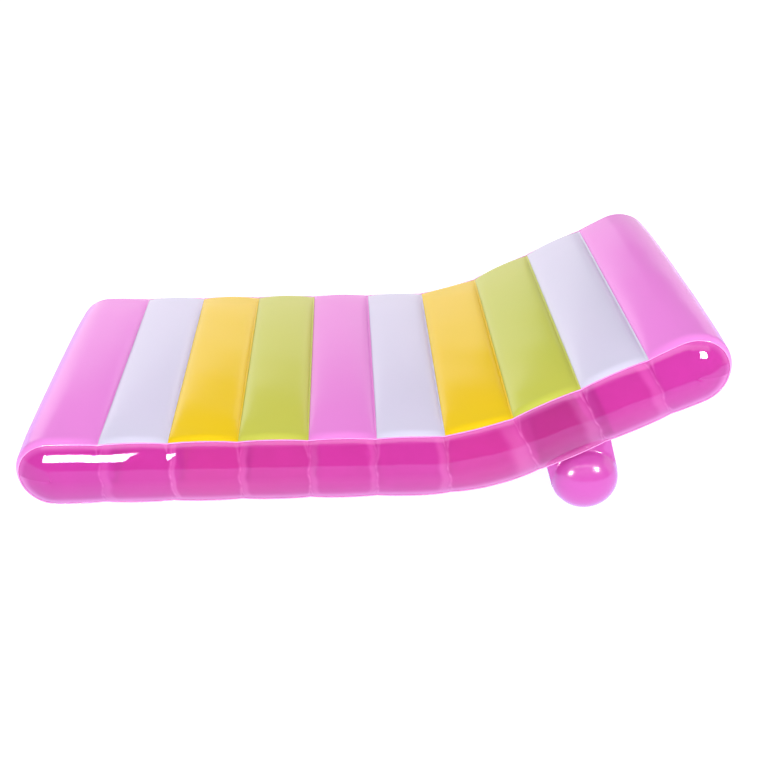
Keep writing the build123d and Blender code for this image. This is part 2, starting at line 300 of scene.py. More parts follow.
def film_points(loop, y):
    """Points of the top, end and underside film on a grid of places."""
    loop, y = np.meshgrid(loop, y, indexing="ij")
    x, z, out_x, out_z = loop_frame(loop)
    height = swelling(loop, y)
    inside = SEAM_Y - np.abs(y)
    height += np.where(y < 0, gathers(loop, inside, -1), gathers(loop, inside, 1))
    wander = waves(loop + 0.37 * y, 5, (0.21, 0.33)) * waves(y - 0.21 * loop, 7, (0.27, 0.43))
    height += FILM_WANDER * wander * ramp(inside, 0, WANDER_START)
    reach = SEAM_HALF + height
    return np.stack([x + out_x * reach, y, on_floor(z + out_z * reach)], -1)


def swell_points(loop, share, side):
    """Points of a side panel: share runs from 0 at the seam to 1 at the middle line."""
    loop, share = np.meshgrid(loop, share, indexing="ij")
    x, z, out_x, out_z = loop_frame(loop)
    radius = (SEAM_HALF**2 + SIDE_BULGE**2) / (2 * SIDE_BULGE)
    full = math.asin(SEAM_HALF / radius)
    angle = full * (1 - share)
    reach = radius * np.sin(angle) * (1 + scallop(loop, np.full_like(loop, SEAM_Y)) / SEAM_HALF)
    swell = radius * np.cos(angle) - (radius - SIDE_BULGE)
    along = np.where(np.mod(loop, LOOP) < HEAD_END, loop, UNDER_END - loop)
    dips = sum(np.exp(-(((along - s) / SIDE_DIP_WIDTH) ** 2)) for s in STATIONS)
    inwards = np.sin(np.pi * share / 2)
    swell -= SIDE_DIP * dips * inwards
    swell += gathers(loop, share * SEAM_HALF, side)
    swell += SIDE_WANDER * waves(along, 31, (0.12, 0.19)) * inwards
    return np.stack([x + out_x * reach, side * (SEAM_Y + swell), on_floor(z + out_z * reach)], -1)


# Mesh helpers
def new_object(name, verts, faces, smooth=True):
    """An object in the scene with a mesh of these vertices and faces."""
    mesh = bpy.data.meshes.new(name)
    mesh.from_pydata([tuple(v) for v in verts], [], faces)
    mesh.validate()
    mesh.polygons.foreach_set("use_smooth", [smooth] * len(mesh.polygons))
    obj = bpy.data.objects.new(name, mesh)
    bpy.context.scene.collection.objects.link(obj)
    return obj


def grid_faces(rows, columns, wrap_rows=False, wrap_columns=False):
    """Quads of a grid of vertices, joined round where it wraps."""
    last_row = rows if wrap_rows else rows - 1
    last_column = columns if wrap_columns else columns - 1
    faces = []
    for i in range(last_row):
        below, above = i * columns, (i + 1) % rows * columns
        for j in range(last_column):
            k = (j + 1) % columns
            faces.append((below + j, above + j, above + k, below + k))
    return faces


def grid_object(name, points, **wraps):
    """An object whose mesh is a grid of points."""
    rows, columns = points.shape[:2]
    return new_object(name, points.reshape(-1, 3), grid_faces(rows, columns, **wraps))


def thicken(obj, thickness=FILM):
    """Gives a film its wall, with the lining material on the inside."""
    wall = obj.modifiers.new("Wall", "SOLIDIFY")
    wall.thickness = thickness
    wall.offset = -1
    wall.use_even_offset = False
    wall.material_offset = 1


def spaced(low, high, step, *marks):
    """Even steps from low to high that also hit the marks between them."""
    stops = [low, *[m for m in marks if low + step / 3 < m < high - step / 3], high]
    runs = [
        np.linspace(a, b, max(2, round((b - a) / step) + 1))[:-1] for a, b in zip(stops, stops[1:])
    ]
    return np.concatenate([*runs, [high]])


def across():
    """Places across the film, closer together beside the seams."""
    edge, least_gap = 0.034, 0.002  # width of the finer strip, and its gap to the coarse places
    half = np.concatenate([
        np.arange(0, SEAM_Y - edge - least_gap, MIDDLE_GRID),
        np.linspace(SEAM_Y - edge, SEAM_Y, round(edge / SEAM_GRID) + 1),
    ])
    return np.concatenate([-half[:0:-1], half])


def turned_out(obj, towards):
    """Flips a mesh whose faces look away from their own side."""
    total = sum(towards(p.center).dot(p.normal) * p.area for p in obj.data.polygons)
    if total < 0:
        obj.data.flip_normals()


def recalculate(obj):
    """Turns the faces of a closed mesh outwards."""
    mesh = bmesh.new()
    mesh.from_mesh(obj.data)
    bmesh.ops.recalc_face_normals(mesh, faces=mesh.faces)
    mesh.to_mesh(obj.data)
    mesh.free()


def finish_piece(obj, material, node):
    """Gives a piece its material, with the lining inside, and its place in the model."""
    obj.data.materials.append(material)
    if obj.modifiers:
        obj.data.materials.append(lining)
    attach(obj, BODY)
    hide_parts(node)


# Materials
def srgb(red, green, blue):
    """A linear colour from 0-255 display values."""
    shares = [c / 255 for c in (red, green, blue)]
    return (*[c / 12.92 if c <= 0.04045 else ((c + 0.055) / 1.055) ** 2.4 for c in shares], 1)


class Nodes:
    """A material's node tree, with short ways to add and join nodes."""

    def __init__(self, name):
        self.material = bpy.data.materials.new(name)
        self.material.use_nodes = True
        self.tree = self.material.node_tree
        self.tree.nodes.clear()
        self.output = self.add("ShaderNodeOutputMaterial")
        self.place = self.add("ShaderNodeTexCoord").outputs["Object"]

    def add(self, kind, **inputs):
        """A new node, with the named inputs set."""
        node = self.tree.nodes.new(kind)
        for key, value in inputs.items():
            self.set(node.inputs[key.replace("_", " ")], value)
        return node

    def set(self, socket, value):
        """Links a socket to another node's output, or gives it a constant."""
        if isinstance(value, bpy.types.NodeSocket):
            self.tree.links.new(value, socket)
        else:
            socket.default_value = value

    def set_all(self, sockets, values):
        """Sets each socket to the value in its place."""
        for socket, value in zip(sockets, values):
            self.set(socket, value)

    def noise(self, scale, detail=2.0, stretch=(1, 1, 1)):
        """A noise between about 0.3 and 0.7, optionally stretched along an axis."""
        mapping = self.add("ShaderNodeMapping", Vector=self.place, Scale=stretch)
        node = self.add("ShaderNodeTexNoise", Vector=mapping.outputs[0], Scale=scale, Detail=detail)
        return node.outputs["Fac"]

    def spread(self, value, low, high, start=0.2, end=0.8):
        """Maps a noise onto a range."""
        node = self.add("ShaderNodeMapRange", Value=value)
        limits = [node.inputs[key] for key in ("From Min", "From Max", "To Min", "To Max")]
        self.set_all(limits, (start, end, low, high))
        return node.outputs[0]

    def blend(self, share, first, second):
        """A colour between two, by share."""
        node = self.tree.nodes.new("ShaderNodeMix")
        node.data_type = "RGBA"
        self.set_all(node.inputs[:1] + node.inputs[6:8], (share, first, second))
        return node.outputs[2]

    def between(self, share, first, second):
        """A number between two, by share."""
        node = self.tree.nodes.new("ShaderNodeMix")
        self.set_all(node.inputs[:1] + node.inputs[2:4], (share, first, second))
        return node.outputs[0]

    def bump(self, height, strength, distance, normal=None):
        """A normal roughened by a height, over another normal if one is given."""
        node = self.add("ShaderNodeBump", Height=height, Strength=strength, Distance=distance)
        if normal is not None:
            self.set(node.inputs["Normal"], normal)
        return node.outputs[0]

    def mix(self, share, first, second):
        """A shader between two, by share."""
        node = self.tree.nodes.new("ShaderNodeMixShader")
        self.set_all(node.inputs, (share, first.outputs[0], second.outputs[0]))
        return node

    def done(self, shader):
        """The finished material, with this shader as its surface."""
        self.tree.links.new(shader.outputs[0], self.output.inputs[0])
        return self.material


def film_surface(nodes, fine=0.00002, slow=0.0003):
    """The faint unevenness of calendered film: slow ripples and a finer tooth."""
    ripple = nodes.bump(nodes.noise(14, 1), 0.5, slow)
    return nodes.bump(nodes.noise(90, 1), 0.4, fine, ripple)


def satin_film(name, colour, deep, roughness=0.21, glow=0.3):
    """Opaque printed film: satin, a little deeper in colour in places, lit through from behind."""
    nodes = Nodes(name)
    patchy = nodes.spread(nodes.noise(5, 1), 0, 0.3)
    tint = nodes.blend(patchy, colour, deep)
    normal = film_surface(nodes)
    shader = nodes.add(
        "ShaderNodeBsdfPrincipled",
        Base_Color=tint,
        Roughness=roughness,
        Normal=normal,
        IOR=1.5,
    )
    through = nodes.add("ShaderNodeBsdfTranslucent", Color=tint, Normal=normal)
    return nodes.done(nodes.mix(glow, shader, through))


def gloss_film(name, colour, deep, roughness=0.2, coat=0.45):
    """Opaque glossy film with faint ripples."""
    nodes = Nodes(name)
    tint = nodes.blend(nodes.spread(nodes.noise(9, 3), 0, 0.4), colour, deep)
    shader = nodes.add(
        "ShaderNodeBsdfPrincipled",
        Base_Color=tint,
        Roughness=nodes.spread(nodes.noise(60, 2), roughness, roughness + 0.05),
        Normal=film_surface(nodes, 0.00001, 0.0003),
        IOR=1.5,
    )
    shader.inputs["Coat Weight"].default_value = coat
    shader.inputs["Coat Roughness"].default_value = 0.05
    return nodes.done(shader)


def lining_film():
    """The inside face of a film: it lets light by, so a wall counts once."""
    nodes = Nodes("Film lining")
    gloss_share = 0.03
    clear = nodes.add("ShaderNodeBsdfTransparent", Color=(0.96, 0.94, 0.95, 1))
    rough = nodes.spread(nodes.noise(60, 2), 0.05, 0.12)
    gloss = nodes.add("ShaderNodeBsdfGlossy", Roughness=rough)
    return nodes.done(nodes.mix(gloss_share, clear, gloss))


def clear_film(name, tint, haze, haze_share, roughness=0.012, ripple=0.0001, held=None):
    """See-through tinted film: some light is dyed on its way through, some is scattered. Where
    held, a pair of paler haze and larger share, is given, the mesh's "held" value takes over:
    painted light, paler where that value is high."""
    nodes = Nodes(name)
    cloud = nodes.spread(nodes.noise(11, 3), haze_share - 0.03, haze_share + 0.03)
    if held is not None:
        # The "held" attribute carries painted light: pale bands and margins written on the side
        # film
        painted_light_value = nodes.add("ShaderNodeAttribute")
        painted_light_value.attribute_name = "held"
        pale, share = held
        cloud = nodes.between(painted_light_value.outputs["Fac"], cloud, share)
        haze = nodes.blend(painted_light_value.outputs["Fac"], haze, pale)
    normal = film_surface(nodes, 0.000004, ripple)
    clear = nodes.add("ShaderNodeBsdfTransparent", Color=tint)
    lit = nodes.add("ShaderNodeBsdfDiffuse", Color=haze, Normal=normal)
    through = nodes.add("ShaderNodeBsdfTranslucent", Color=haze, Normal=normal)
    passed_on = 0.3
    scatter = nodes.mix(passed_on, lit, through)
    body = nodes.mix(cloud, clear, scatter)
    rough = nodes.spread(nodes.noise(60, 2), roughness, roughness + 0.01)
    gloss = nodes.add("ShaderNodeBsdfGlossy", Roughness=rough, Normal=normal)
    edge = nodes.add("ShaderNodeFresnel", IOR=1.5, Normal=normal)
    return nodes.done(nodes.mix(edge.outputs[0], body, gloss))


lining = lining_film()
top_materials = {
    "film_pink": satin_film("Film pink", srgb(250, 152, 240), srgb(248, 142, 236)),
    "film_white": satin_film("Film white", srgb(231, 234, 254), srgb(227, 231, 253)),
    "film_yellow": satin_film("Film yellow", srgb(255, 224, 22), srgb(255, 219, 18)),
    "film_green": satin_film("Film green", srgb(215, 225, 92), srgb(212, 222, 84)),
}
underside_film = satin_film(
    "Film underside pink", srgb(248, 110, 212), srgb(246, 98, 204), roughness=0.25, glow=0.5
)
side_film = clear_film(
    "Film clear pink",
    srgb(255, 165, 238),
    srgb(255, 78, 204),
    haze_share=0.38,
    # Paler haze and larger share where the mesh's "held" value paints light on the film
    held=(srgb(255, 142, 228), 0.66),
)
baffle_film = clear_film(
    "Film baffle", srgb(255, 215, 240), srgb(255, 226, 246), haze_share=0.7, roughness=0.08
)
weld_film = gloss_film(
    "Weld pink", srgb(246, 160, 226), srgb(240, 130, 214), roughness=0.15, coat=0.4
)
bolster_film = gloss_film("Film bolster pink", srgb(194, 74, 170), srgb(188, 64, 162))
valve_film = clear_film(
    "Valve soft clear", srgb(250, 222, 240), srgb(255, 204, 236), haze_share=0.58, roughness=0.08
)


# Top, end and underside film
TOP_SLOTS = [
    ("foot_panel_pink", "film_pink"),
    ("top_panel_white_1", "film_white"),
    ("top_panel_yellow_1", "film_yellow"),
    ("top_panel_green_1", "film_green"),
    ("top_panel_pink_mid", "film_pink"),
    ("top_panel_white_2", "film_white"),
    ("top_panel_yellow_2", "film_yellow"),
    ("top_panel_green_2", "film_green"),
    ("top_panel_white_3", "film_white"),
    ("head_panel_pink", "film_pink"),
]
TOP_BOUNDS = [UNDER_END - STATIONS[0] - LOOP, *STATIONS, UNDER_END - STATIONS[-1]]
WIDTHS = across()


def crease_rows(start, end):
    """Places along the loop, closer together beside the creases."""
    creases = np.concatenate([CREASES - LOOP, CREASES])
    rows = spaced(start, end, GRID, *creases)
    beside = (creases[:, None] + np.array([-3, -2, -1, 1, 2, 3]) * CREASE_GRID).ravel()
    near = np.abs(rows[:, None] - creases).min(1)
    kept = rows[(near > 3.5 * CREASE_GRID) | (near < 1e-6) | (rows == start) | (rows == end)]
    inner = beside[(beside > start + CREASE_GRID / 2) & (beside < end - CREASE_GRID / 2)]
    return np.unique(np.concatenate([kept, inner]))


def film_strip(name, start, end):
    """One closed film panel between two places on the loop."""
    rows = crease_rows(start, end)
    strip = grid_object(name, film_points(rows, WIDTHS))
    turned_out(strip, outward_from_core)
    thicken(strip)
    return strip


CORE_S = np.linspace(0, LENGTH, 800)
CORE_X = centreline(CORE_S)[0]


def outward_from_core(point):
    """From the mid-surface below or above it towards a point of the film."""
    x, z, _ = centreline(np.interp(point.x, CORE_X, CORE_S))
    return Vector((point.x - float(x), 0, point.z - float(z)))


for (node, slot), low, high in zip(TOP_SLOTS, TOP_BOUNDS, TOP_BOUNDS[1:]):
    finish_piece(film_strip(f"{node}_film", low, high), top_materials[slot], node)

UNDER_SPLIT = UNDER_END - BOLSTER_STATION
UNDERSIDE = {
    "bottom_sheet_head": (UNDER_END - STATIONS[-1], UNDER_SPLIT),
    "bottom_sheet_foot": (UNDER_SPLIT, UNDER_END - STATIONS[0]),
}
for node, (low, high) in UNDERSIDE.items():
    sheet = film_strip(f"{node}_film", low, high)
    finish_piece(sheet, underside_film, node)


# Side film
def side_rows():
    """Places round the loop where the top's and the underside's rows meet at the middle line."""
    coarse, fine, fine_rows = 0.006, 0.002, 18
    beside = (STATIONS[:, None] + fine * np.arange(-fine_rows, fine_rows + 1)).ravel()
    top = spaced(0, TOP_END, coarse)
    clear = np.abs(top[:, None] - STATIONS).min(1) > (fine_rows + 0.75) * fine
    top = np.sort(np.concatenate([top[clear], beside]))
    head = np.linspace(TOP_END, HEAD_END, 49)[1:-1]
    foot = np.linspace(UNDER_END, LOOP, 49)[1:-1]
    return np.concatenate([top, head, UNDER_END - top[::-1], foot])


def painted_pale_band(number, along, z, share):
    """The painted pale band beside a baffle, standing in for its lit end seen through the film: a
    soft field with a bright line at its outer edge.
    """
    station, width = STATIONS[number], BAND_WIDTHS[number]
    inwards = np.sign(BAND_PIVOT - station)
    shift = inwards * BAND_SHIFT * (0.4 + 0.6 * min(1, abs(BAND_PIVOT - station)))
    sway = BAND_SWAY * waves(z, 200 + number, (0.05, 0.09))
    bow = BAND_BOW * share**4 * np.where(along < station, -1, 1)
    off = (along - station - shift - sway - bow) * inwards
    field = BAND_FIELD * np.exp(-np.abs((off - 0.4 * width) / width) ** 3)
    line = np.exp(-((off + 0.5 * width) / BAND_LINE) ** 2)
    uneven = 0.75 + 0.25 * waves(z, 230 + number, (0.02, 0.033))
    return BAND_LEVELS[number] * np.maximum(field, line * uneven)


def painted_light_share(points):
    """How much painted light the side film gets at its points: pale bands standing in for the
    inner walls' lit ends, and paler margins where light falls on the film."""
    s = np.linspace(0, LENGTH, 3001)
    x, z, _ = centreline(s)
    near = np.array([np.argmin((x - p[0]) ** 2 + (z - p[2]) ** 2) for p in points])
    reach = np.hypot(points[:, 0] - x[near], points[:, 2] - z[near])
    above = points[:, 2] > z[near]
    share = np.clip(reach / SEAM_HALF, 0, 1)
    # held sums the painted pale bands
    held = np.zeros(len(points))
    for number in range(BAFFLES):
        band = painted_pale_band(number, s[near], points[:, 2], share)
        held = np.maximum(held, band * np.where(above, 1 - BAND_FADE * share, 1))
    # Painted light on the margins: a paler low margin and lower half, and a paler high margin under
    # the seam
    low_margin = LOW_MARGIN * ramp(share, 0.58, 0.88) ** 1.5
    lower_half = LOWER_HALF * ramp(share, 0, 0.25)
    high_margin = HIGH_MARGIN * ramp(share, 0.84, 0.98)
    margin = np.where(above, high_margin, np.maximum(low_margin, lower_half))
    return np.clip(held + margin * (1 - held), 0, 1)


def side_panel(name, side):
    """One side's film, swollen outwards, with its painted light (pale bands and margins) written on
    the mesh.
    """
    points = swell_points(side_rows(), np.linspace(0, 1, 27), side)
    panel = grid_object(name, points, wrap_rows=True)
    weld_verts(panel)
    coordinates = np.array([v.co for v in panel.data.vertices])
    # The "held" attribute carries the painted light
    held = panel.data.attributes.new("held", "FLOAT", "POINT")
    held.data.foreach_set("value", painted_light_share(coordinates))
    turned_out(panel, lambda point: Vector((0, side, 0)))
    thicken(panel)
    return panel


def weld_verts(obj, distance=2e-5):
    """Merges vertices that coincide and drops the faces this closes up."""
    mesh = bmesh.new()
    mesh.from_mesh(obj.data)
    bmesh.ops.remove_doubles(mesh, verts=mesh.verts, dist=distance)
    bmesh.ops.dissolve_degenerate(mesh, edges=mesh.edges, dist=distance)
    mesh.to_mesh(obj.data)
    mesh.free()


def cut_hole(obj, centre, radius):
    """Cuts a round hole along Y through a film, for a valve's collar."""
    cutter = lathe("hole_cutter", [(radius, -0.02), (radius, 0.02)], centre, 48, caps=True)
    cut = obj.modifiers.new("Hole", "BOOLEAN")
    cut.operation, cut.object, cut.solver = "DIFFERENCE", cutter, "EXACT"
    bpy.context.view_layer.update()
    seen = obj.evaluated_get(bpy.context.evaluated_depsgraph_get())
    mesh = bpy.data.meshes.new_from_object(seen)
    obj.modifiers.clear()
    obj.data = mesh
    bpy.data.objects.remove(cutter)


def lathe(name, profile, centre, turns=96, caps=False):
    """Turns a profile of (radius, y) round an axis along Y through centre."""
    angle = np.linspace(0, 2 * np.pi, turns, endpoint=False)
    radius, along = np.array(profile).T
    x = centre[0] + radius[:, None] * np.cos(angle)
    z = centre[2] + radius[:, None] * np.sin(angle)
    y = centre[1] + np.broadcast_to(along[:, None], x.shape)
    verts = np.stack([x, y, z], -1).reshape(-1, 3)
    faces = grid_faces(len(profile), turns, wrap_columns=True)
    if caps:
        faces.append(tuple(range(turns)))
        faces.append(tuple(range(len(verts) - 1, len(verts) - turns - 1, -1)))
    return new_object(name, verts, faces)


VALVE_HOLE = 0.0108

left_side = side_panel("side_panel_left_film", -1)
right_side = side_panel("side_panel_right_film", 1)
cut_hole(right_side, middle("body_valve_stem"), VALVE_HOLE)
finish_piece(left_side, side_film, "side_panel_left")
finish_piece(right_side, side_film, "side_panel_right")


# Seam welds
BEAD_PROFILE = [  # (rise in metres, half widths across) round a bead's section
    (-0.0003, -1.0), (0.0008, -0.85), (0.0016, -0.35), (0.0016, 0.35),
    (0.0008, 0.85), (-0.0003, 1.0), (-0.0012, 0.5), (-0.0012, -0.5),
]


def seam_weld(name, side):
    """A low rounded bead all round one side."""
    loop = np.arange(0, LOOP, 0.004)
    x, z, out_x, out_z = loop_frame(loop)
    size = 1 + BEAD_UNEVEN * waves(loop, 41, (0.011, 0.017, 0.05))
    rings = []
    for rise, width in BEAD_PROFILE:
        reach = SEAM_HALF + scallop(loop, np.full_like(loop, SEAM_Y)) + rise * size
        reach += BEAD_PUCKER * puckers(loop, 43)
        y = side * (SEAM_Y + BEAD_OUT) + BEAD_SIZE * width * size
        rings.append(np.stack([x + out_x * reach, y, on_floor(z + out_z * reach)], -1))
    return grid_object(name, np.stack(rings, 1), wrap_rows=True, wrap_columns=True)


for name, side in (("seam_weld_left", -1), ("seam_weld_right", 1)):
    bead = seam_weld(f"{name}_bead", side)
    recalculate(bead)
    finish_piece(bead, weld_film, name)


# Inner walls, seen through the side film
def film_height(loop, y):
    """Height of the film over the seams' plane at one place on the loop."""
    return swelling(np.full_like(y, loop), y)


def baffle_points(number, station):
    """Rows from the top weld strip down the wall to the lower weld strip, by columns across."""
    random = np.random.default_rng(100 + number)
    half = np.concatenate([
        np.linspace(0, CURL_START - 0.01, 24), np.linspace(CURL_START, BAFFLE_REACH, 18)
    ])
    y = np.concatenate([-half[:0:-1], half])
    upper = SEAM_HALF + film_height(station - CREASE_SHIFT, y) - BAFFLE_INSET
    lower = SEAM_HALF + film_height(UNDER_END - station, y) - BAFFLE_INSET
    down = np.linspace(0, 1, 34)
    share, across_y = np.meshgrid(down, y, indexing="ij")
    height = upper + (-lower - upper) * share
    bow = np.sin(np.pi * share)
    loose = ramp(np.abs(across_y), CURL_START, BAFFLE_REACH)
    turn = 1 if centreline(np.array(station))[0] < 0 else -1
    curl = np.radians(random.uniform(*CURL_TURN)) * np.sqrt(bow) * loose**0.7
    step = np.diff(y, prepend=y[0])
    centre = slice(len(y) // 2, len(y) // 2 + 1)
    sideways = np.cumsum(np.abs(step) * np.sin(curl), 1)
    sideways = np.abs(sideways - sideways[:, centre])
    pulled = np.cumsum(step * np.cos(curl), 1)
    pulled -= pulled[:, centre]
    along = station - CREASE_SHIFT * (1 - share) + turn * sideways
    wander = waves(share * 0.1 + across_y, 60 + number, (0.03, 0.05))
    along += CURL_WANDER * loose * bow * wander

    def strip(row, offsets):
        return np.stack([
            np.stack([along[row] + offset, pulled[row], height[row]], -1) for offset in offsets
        ])

    wall = np.stack([along, pulled, height], -1)
    return np.concatenate([strip(0, BAFFLE_STRIP[::-1]), wall[1:-1], strip(-1, BAFFLE_STRIP)])


def from_layout(points, lowest=FLOOR_CLEARANCE):
    """Points given as (station, y, height over the mid-surface) in the float's frame."""
    x, z, slope = centreline(points[..., 0])
    height = points[..., 2]
    world_z = z + height * np.cos(slope)
    return np.stack([x - height * np.sin(slope), points[..., 1], np.maximum(world_z, lowest)], -1)


for number, station in enumerate(STATIONS, 1):
    wall = grid_object(f"baffle_{number}_film", from_layout(baffle_points(number, station)))
    thicken(wall, BAFFLE_FILM)
    finish_piece(wall, baffle_film, f"baffle_{number}")


# Bolster
CENTRE_DOWN = CAD_HALF + BOLSTER_GAP + BOLSTER_RADIUS  # from the body's mid-surface to its axis
DOME_TURNS = 240


def underside(along, y):
    """Height of the underside film beside the bolster, along from the bolster's middle."""
    return -(SEAM_HALF + film_height(UNDER_END - BOLSTER_STATION - along, np.array([y]))[0])


def tangent(corner, radius, side):
    """Where a line from the corner touches the bolster, and which way it runs on. The corner is
    (along, up) from the bolster's axis."""
    towards = math.atan2(corner[1], corner[0]) - side * math.acos(radius / np.hypot(*corner))
    out = np.array([math.cos(towards), math.sin(towards)])
    return radius * out, side * np.array([out[1], -out[0]])


def neck_reach(angle):
    """Distance from the bolster's axis to the end's outline at angles from the head's direction:
    the tube's own radius below, and out along the two webs to the body above."""
    widest, steepest = 1.75, 1.4  # a web's span in radians, and where its line is cut short
    least_sine = 0.3  # below this the underside is no limit
    moved = BOLSTER_RADIUS + 0.0004
    reach = np.full(angle.shape, BOLSTER_RADIUS)
    high = CENTRE_DOWN + underside(0, sleeve_high)
    for side, along in ((1, WEB_REAR), (-1, WEB_FRONT)):
        low, _ = tangent(np.array([along, high]), BOLSTER_RADIUS, side)
        past = side * (angle - math.atan2(low[1], low[0]))
        on_web = (past > 0) & (past < widest)
        reach = np.where(on_web, BOLSTER_RADIUS / np.cos(np.clip(past, 0, steepest)), reach)
    ceiling = high / np.maximum(np.sin(angle), least_sine)
    reach = np.where(np.sin(angle) > least_sine, np.minimum(reach, ceiling), reach)
    for _ in range(NECK_ROUNDING):
        smooth = (np.roll(reach, 1) + 2 * reach + np.roll(reach, -1)) / 4
        reach = np.where(reach > moved, smooth, reach)
    return reach


def bolster_end(name, side, start_y):
    """A domed end that spreads at its root to the neck's outline between the two webs."""
    angle = np.linspace(-np.pi / 2, 1.5 * np.pi, DOME_TURNS, endpoint=False)
    reach = neck_reach(angle)
    rise = np.pi / 2 * np.linspace(0, 1, 60)[:, None] ** 1.5
    dome = BOLSTER_RADIUS * np.cos(rise) ** DOME_FULLNESS
    level = dome + (reach - BOLSTER_RADIUS) * np.cos(rise) ** NECK_FADE
    along = level * np.cos(angle)
    up = level * np.sin(angle)
    y = np.broadcast_to(start_y + side * BOLSTER_DOME * np.sin(rise), level.shape)
    layout = np.stack([BOLSTER_STATION + along, y, up - CENTRE_DOWN], -1)
    return grid_object(name, from_layout(layout, -BOLSTER_RADIUS), wrap_columns=True)


def pressed(obj):
    """Presses a piece's lowest part flat on the floor."""
    for vert in obj.data.vertices:
        vert.co.z = float(on_floor(np.array(vert.co.z)))


sleeve_low, sleeve_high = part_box("bolster_sleeve")[0][1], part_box("bolster_sleeve")[1][1]
axis = (BOLSTER[0], 0, BOLSTER[2])
sleeve_y = spaced(sleeve_low, sleeve_high, 0.008)
sleeve_radius = BOLSTER_RADIUS + SLEEVE_WANDER * waves(sleeve_y, 71, (0.13, 0.31))
sleeve_radius[[0, -1]] = BOLSTER_RADIUS
sleeve = lathe("bolster_sleeve_film", np.stack([sleeve_radius, sleeve_y], -1), axis, 120)
pressed(sleeve)
turned_out(sleeve, lambda point: Vector((point.x - axis[0], 0, point.z - axis[2])))
thicken(sleeve)
finish_piece(sleeve, bolster_film, "bolster_sleeve")

for name, side, start in (
    ("bolster_end_left", -1, sleeve_low), ("bolster_end_right", 1, sleeve_high)
):
    end = bolster_end(f"{name}_film", side, start)
    weld_verts(end)
    pressed(end)
    turned_out(end, lambda point: Vector((0, side, 0)))
    thicken(end)
    if side > 0:
        cut_hole(end, middle("bolster_valve_stem"), VALVE_HOLE)
    finish_piece(end, bolster_film, name)


FILLET_POINTS, WALL_POINTS = 9, 12  # along the outside of a web's section


def web_section(reach, y):
    """A web's closed section at one place across: (along, up) from the bolster's axis. The
    outside runs from the fillet at the underside down to the bolster; the inside comes back and
    ends in the weld strip between the body and the bolster."""
    side = 1 if reach > 0 else -1

    def under(along):
        return CENTRE_DOWN + underside(along, y)

    corner = np.array([reach, under(reach)])
    low, onward = tangent(corner, BOLSTER_RADIUS + WEB_OUTSIDE, side)
    knee = corner + WEB_FILLET * onward
    tip_along = reach + side * WEB_FLARE
    tip = np.array([tip_along, under(tip_along)])
    bend = np.linspace(0, 1, FILLET_POINTS)[:, None]
    fillet = (1 - bend) ** 2 * tip + 2 * bend * (1 - bend) * corner + bend**2 * knee
    wall = np.linspace(0, 1, WALL_POINTS + 1)[1:, None]
    outside = knee + (low + WEB_LAP * onward - knee) * wall

    inner_corner = corner - np.array([side * FILM, WEB_INNER_DROP])
    inner_low, onward = tangent(inner_corner, BOLSTER_RADIUS + WEB_INSIDE, side)
    inside = inner_low + (inner_corner - inner_low) * np.linspace(0, 1, 7)[:, None]
    flange = np.linspace(reach - side * WEB_FLANGE_START, (WEB_FRONT + WEB_REAR) / 2, 7)
    lower = np.array([(a, under(a) - WEB_FLANGE_GAP - FILM) for a in flange])
    upper = np.array([(a, under(a) - WEB_FLANGE_GAP) for a in [*flange[::-1], reach]])
    return np.concatenate([
        fillet, outside, [inner_low + WEB_LAP * onward], inside, lower, upper
    ])


def web_points(reach):
    """A web's sections across the float, with the faint gathers of its two welds."""
    side = 1 if reach > 0 else -1
    y = np.linspace(sleeve_low, sleeve_high, 130)
    calm = ramp(sleeve_high - np.abs(y), 0, WEB_END_FADE)
    sway = WEB_SWAY * calm * waves(y, 91 if side > 0 else 93, (0.19, 0.31))
    sections = np.array([web_section(reach * (1 + w), v) for v, w in zip(y, sway)])
    gather = WEB_GATHER * calm * waves(y, 83 if side > 0 else 87, (0.013, 0.021, 0.035))
    outside = FILLET_POINTS + WALL_POINTS
    free = np.sin(np.pi * np.linspace(0, 1, outside))
    sections[:, :outside, 0] += side * gather[:, None] * free
    along, up = sections[..., 0], sections[..., 1]
    across_y = np.broadcast_to(y[:, None], along.shape)
    return from_layout(np.stack([BOLSTER_STATION + along, across_y, up - CENTRE_DOWN], -1))


for name, reach in (("bolster_web_front", WEB_FRONT), ("bolster_web_rear", WEB_REAR)):
    points = web_points(reach)
    rows, columns = points.shape[:2]
    faces = grid_faces(rows, columns, wrap_columns=True)
    faces.append(tuple(range(columns)))
    faces.append(tuple(range(rows * columns - 1, (rows - 1) * columns - 1, -1)))
    web = new_object(f"{name}_film", points.reshape(-1, 3), faces)
    recalculate(web)
    finish_piece(web, bolster_film, name)


# Valve pieces keep their CAD shapes
for node in frame["nodes"]:
    if "_valve_" in node:
        cad = bpy.data.objects[node]
        cad.data.materials.clear()
        cad.data.materials.append(valve_film)


# Camera, floor and studio light
def look_at(obj, target, roll=0.0):
    """Points an object's -Z at a target, turned by roll about its own view."""
    aim = (Vector(target) - obj.location).to_track_quat("-Z", "Y").to_matrix()
    obj.rotation_euler = (aim @ Matrix.Rotation(roll, 3, "Z")).to_euler()


camera_data = bpy.data.cameras.new("Camera")
camera_data.sensor_width = 36
camera_data.lens = 49.594  # with the place below, lines up the creases and both ends
camera = bpy.data.objects.new("Camera", camera_data)
bpy.context.scene.collection.objects.link(camera)
camera.location = (-0.10606, -2.65179, 1.62721)
look_at(camera, (0.05735, 0, 0.12717), math.radians(2.597))
bpy.context.scene.camera = camera


